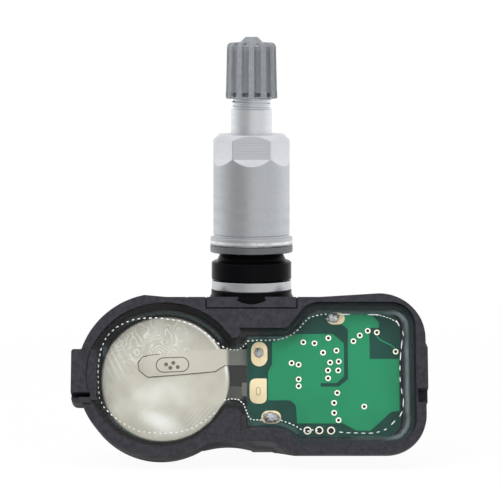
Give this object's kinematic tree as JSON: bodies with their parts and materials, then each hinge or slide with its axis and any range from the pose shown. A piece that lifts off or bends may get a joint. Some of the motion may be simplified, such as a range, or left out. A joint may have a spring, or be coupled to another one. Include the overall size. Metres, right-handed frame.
{
  "type": "tyre pressure sensor",
  "caption": "Clamp-in tyre pressure sensor: a potted electronics housing on an aluminium valve with a hexagon sleeve nut, rubber grommet and screw cap.",
  "frame": {"origin": "on the valve axis, at the grommet's shoulder, the plane that seats on the inner face of the wheel rim", "axes": "+Z along the valve towards its cap, -Y towards the potted side of the housing, +X towards the circuit board"},
  "size_m": [0.0664, 0.0253, 0.0796],
  "materials": {
    "housing_black": "fine moulded satin",
    "gel_clear": "clear and glossy",
    "cell_metal": "brushed nickel sheen",
    "strip_metal": "rolled satin",
    "board_green": "glossy solder mask",
    "pour_green": "glossy solder mask over copper",
    "pad_gold": "plated satin",
    "solder": "bright tin",
    "chip_black": "moulded",
    "seal_grey": "soft matt",
    "ferrite": "sintered matt",
    "copper_wire": "enamelled",
    "capacitor_tan": "fired matt",
    "stem_aluminium": "turned satin",
    "rubber_black": "smooth, a little glossy",
    "ring_aluminium": "satin",
    "washer_grey": "stamped satin",
    "nut_aluminium": "blasted satin",
    "brass": "turned",
    "spring_steel": "drawn wire",
    "cap_grey": "fine moulded satin"
  },
  "bodies": {
    "sensor": {"housing": "housing_black", "potting_gel": "gel_clear", "coin_cell": "cell_metal", "positive_strip": "strip_metal", "negative_strip": "strip_metal", "circuit_board": "board_green", "copper_pour": "pour_green", "via_rings": "pad_gold", "solder_pads": "pad_gold", "solder_joints": "solder", "pressure_chip": "chip_black", "port_seal": "seal_grey", "controller_chip": "chip_black", "coil_core": "ferrite", "coil_winding": "copper_wire", "crystal_can": "cell_metal", "chip_capacitors": "capacitor_tan", "antenna_loop": "copper_wire", "valve_stem": "stem_aluminium", "grommet": "rubber_black", "plain_ring": "ring_aluminium", "core_barrel": "brass", "core_gasket": "rubber_black", "core_spring": "spring_steel"},
    "nut_lift": {"nut_washer": "washer_grey"},
    "nut_turning": {"valve_nut": "nut_aluminium"},
    "cap_lift": {"cap_seal": "rubber_black"},
    "cap_turning": {"valve_cap": "cap_grey"},
    "core_stem": {"core_pin": "brass", "core_cup": "rubber_black"}
  },
  "joints": [
    {"name": "nut_rise", "type": "slide", "parent": "sensor", "child": "nut_lift", "axis": [0, 0, 1], "range_m": [0, 0.00476]},
    {"name": "nut_turn", "type": "hinge", "parent": "nut_lift", "child": "nut_turning", "pos_m": [0, 0, 0.013], "axis": [0, 0, 1], "range_deg": [0, 2160]},
    {"name": "cap_rise", "type": "slide", "parent": "sensor", "child": "cap_lift", "axis": [0, 0, 1], "range_m": [0, 0.00396]},
    {"name": "cap_turn", "type": "hinge", "parent": "cap_lift", "child": "cap_turning", "pos_m": [0, 0, 0.036], "axis": [0, 0, 1], "range_deg": [0, 1800]},
    {"name": "core_press", "type": "slide", "parent": "sensor", "child": "core_stem", "axis": [0, 0, -1], "range_m": [0, 0.0009], "stiffness_N_per_m": 60, "springref_m": -0.003, "deforming": ["core_spring"]}
  ],
  "couplings": [
    {"joint": "nut_turn", "follows": "nut_rise", "rad_per_m": 7913.3},
    {"joint": "cap_turn", "follows": "cap_rise", "rad_per_m": 7913.3}
  ]
}
